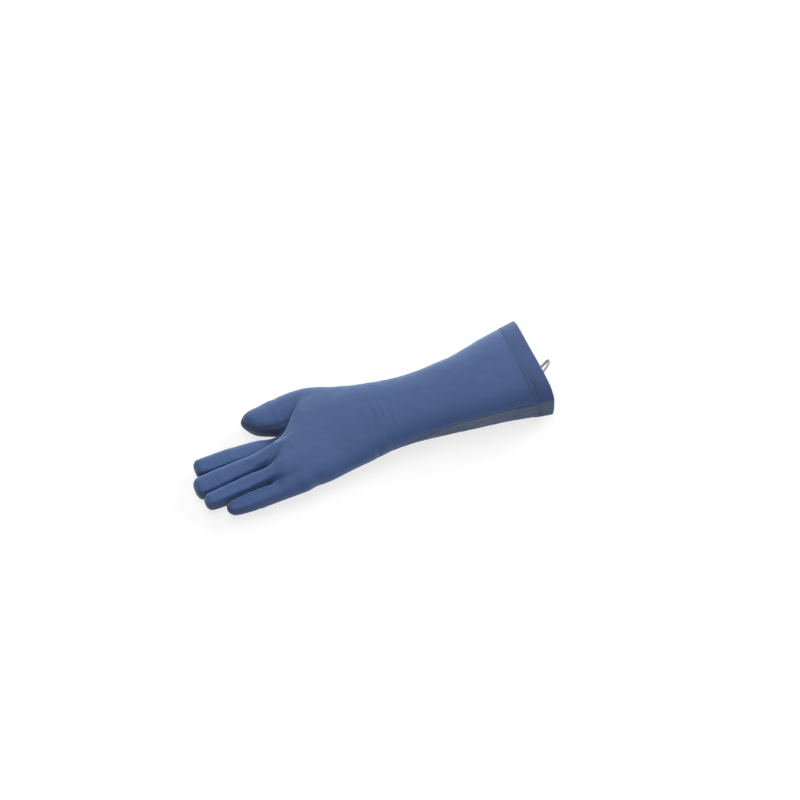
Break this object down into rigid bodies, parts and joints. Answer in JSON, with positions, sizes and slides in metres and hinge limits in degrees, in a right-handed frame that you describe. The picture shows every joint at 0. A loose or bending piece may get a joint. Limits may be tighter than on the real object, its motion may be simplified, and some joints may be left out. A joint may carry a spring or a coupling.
{
  "type": "insulated cryogenic glove",
  "caption": "Left-hand insulated gauntlet glove for cold work: padded layered fingers and thumb, flared cuff with a turned hem, in blue coated cloth.",
  "frame": {"origin": "middle of the glove's box, on the surface it lies on, palm down", "axes": "+X from the fingertips to the cuff, +Y towards the thumb, +Z out of the back of the hand"},
  "size_m": [0.4064, 0.1384, 0.0728],
  "materials": {
    "coated_cloth": "matte coated cloth with a faint sheen",
    "hem_cloth": "matte",
    "batting": "soft fleece batting",
    "knit_lining": "brushed knit",
    "thread": "twisted thread",
    "label": "satin woven, blank",
    "tape": "woven tape"
  },
  "bodies": {
    "gauntlet": {"gauntlet_back_panel": "coated_cloth", "gauntlet_palm_panel": "coated_cloth", "gauntlet_insulation": "batting", "gauntlet_lining": "knit_lining", "hem_facing": "hem_cloth", "hem_rim": "hem_cloth", "hem_stitching": "thread", "size_label": "label", "hang_loop": "tape", "wrist_cloth": "coated_cloth", "wrist_insulation": "batting", "wrist_lining": "knit_lining"},
    "hand": {"hand_back_panel": "coated_cloth", "hand_palm_panel": "coated_cloth", "hand_insulation": "batting", "hand_lining": "knit_lining", "thumb_knuckle_cloth": "coated_cloth", "index_knuckle_cloth": "coated_cloth", "middle_knuckle_cloth": "coated_cloth", "ring_knuckle_cloth": "coated_cloth", "little_knuckle_cloth": "coated_cloth"},
    "thumb_base": {"thumb_base_shell": "coated_cloth", "thumb_base_insulation": "batting", "thumb_base_lining": "knit_lining", "thumb_joint_cloth": "coated_cloth"},
    "thumb_tip": {"thumb_tip_shell": "coated_cloth", "thumb_tip_insulation": "batting", "thumb_tip_lining": "knit_lining"},
    "index_base": {"index_base_shell": "coated_cloth", "index_base_insulation": "batting", "index_base_lining": "knit_lining", "index_joint_cloth": "coated_cloth"},
    "index_tip": {"index_tip_shell": "coated_cloth", "index_tip_insulation": "batting", "index_tip_lining": "knit_lining"},
    "middle_base": {"middle_base_shell": "coated_cloth", "middle_base_insulation": "batting", "middle_base_lining": "knit_lining", "middle_joint_cloth": "coated_cloth"},
    "middle_tip": {"middle_tip_shell": "coated_cloth", "middle_tip_insulation": "batting", "middle_tip_lining": "knit_lining"},
    "ring_base": {"ring_base_shell": "coated_cloth", "ring_base_insulation": "batting", "ring_base_lining": "knit_lining", "ring_joint_cloth": "coated_cloth"},
    "ring_tip": {"ring_tip_shell": "coated_cloth", "ring_tip_insulation": "batting", "ring_tip_lining": "knit_lining"},
    "little_base": {"little_base_shell": "coated_cloth", "little_base_insulation": "batting", "little_base_lining": "knit_lining", "little_joint_cloth": "coated_cloth"},
    "little_tip": {"little_tip_shell": "coated_cloth", "little_tip_insulation": "batting", "little_tip_lining": "knit_lining"}
  },
  "joints": [
    {"name": "wrist_bend", "type": "hinge", "parent": "gauntlet", "child": "hand", "pos_m": [0.0125, -0.0008, 0.02784], "axis": [0, 1, 0], "range_deg": [-30, 30], "stiffness_Nm_per_rad": 1.5, "deforming": ["wrist_cloth", "wrist_insulation", "wrist_lining"]},
    {"name": "thumb_knuckle", "type": "hinge", "parent": "hand", "child": "thumb_base", "pos_m": [-0.0625, 0.0505, 0.02114], "axis": [0, -1, 0], "range_deg": [-10, 45], "stiffness_Nm_per_rad": 0.15, "deforming": ["thumb_knuckle_cloth"]},
    {"name": "thumb_joint", "type": "hinge", "parent": "thumb_base", "child": "thumb_tip", "pos_m": [-0.08821, 0.05411, 0.01978], "axis": [0, -1, 0], "range_deg": [-5, 45], "stiffness_Nm_per_rad": 0.08, "deforming": ["thumb_joint_cloth"]},
    {"name": "index_knuckle", "type": "hinge", "parent": "hand", "child": "index_base", "pos_m": [-0.1215, 0.018, 0.01764], "axis": [0, -1, 0], "range_deg": [-10, 60], "stiffness_Nm_per_rad": 0.15, "deforming": ["index_knuckle_cloth"]},
    {"name": "index_joint", "type": "hinge", "parent": "index_base", "child": "index_tip", "pos_m": [-0.15542, 0.01948, 0.01586], "axis": [0, -1, 0], "range_deg": [-5, 60], "stiffness_Nm_per_rad": 0.08, "deforming": ["index_joint_cloth"]},
    {"name": "middle_knuckle", "type": "hinge", "parent": "hand", "child": "middle_base", "pos_m": [-0.1245, -0.0034, 0.02044], "axis": [0, -1, 0], "range_deg": [-10, 60], "stiffness_Nm_per_rad": 0.15, "deforming": ["middle_knuckle_cloth"]},
    {"name": "middle_joint", "type": "hinge", "parent": "middle_base", "child": "middle_tip", "pos_m": [-0.16146, -0.00276, 0.01882], "axis": [0, -1, 0], "range_deg": [-5, 60], "stiffness_Nm_per_rad": 0.08, "deforming": ["middle_joint_cloth"]},
    {"name": "ring_knuckle", "type": "hinge", "parent": "hand", "child": "ring_base", "pos_m": [-0.1235, -0.0244, 0.02014], "axis": [0, -1, 0], "range_deg": [-10, 60], "stiffness_Nm_per_rad": 0.15, "deforming": ["ring_knuckle_cloth"]},
    {"name": "ring_joint", "type": "hinge", "parent": "ring_base", "child": "ring_tip", "pos_m": [-0.15847, -0.0244, 0.01861], "axis": [0, -1, 0], "range_deg": [-5, 60], "stiffness_Nm_per_rad": 0.08, "deforming": ["ring_joint_cloth"]},
    {"name": "little_knuckle", "type": "hinge", "parent": "hand", "child": "little_base", "pos_m": [-0.1215, -0.0442, 0.01814], "axis": [0, -1, 0], "range_deg": [-10, 60], "stiffness_Nm_per_rad": 0.15, "deforming": ["little_knuckle_cloth"]},
    {"name": "little_joint", "type": "hinge", "parent": "little_base", "child": "little_tip", "pos_m": [-0.14846, -0.0442, 0.01672], "axis": [0, -1, 0], "range_deg": [-5, 60], "stiffness_Nm_per_rad": 0.08, "deforming": ["little_joint_cloth"]}
  ]
}
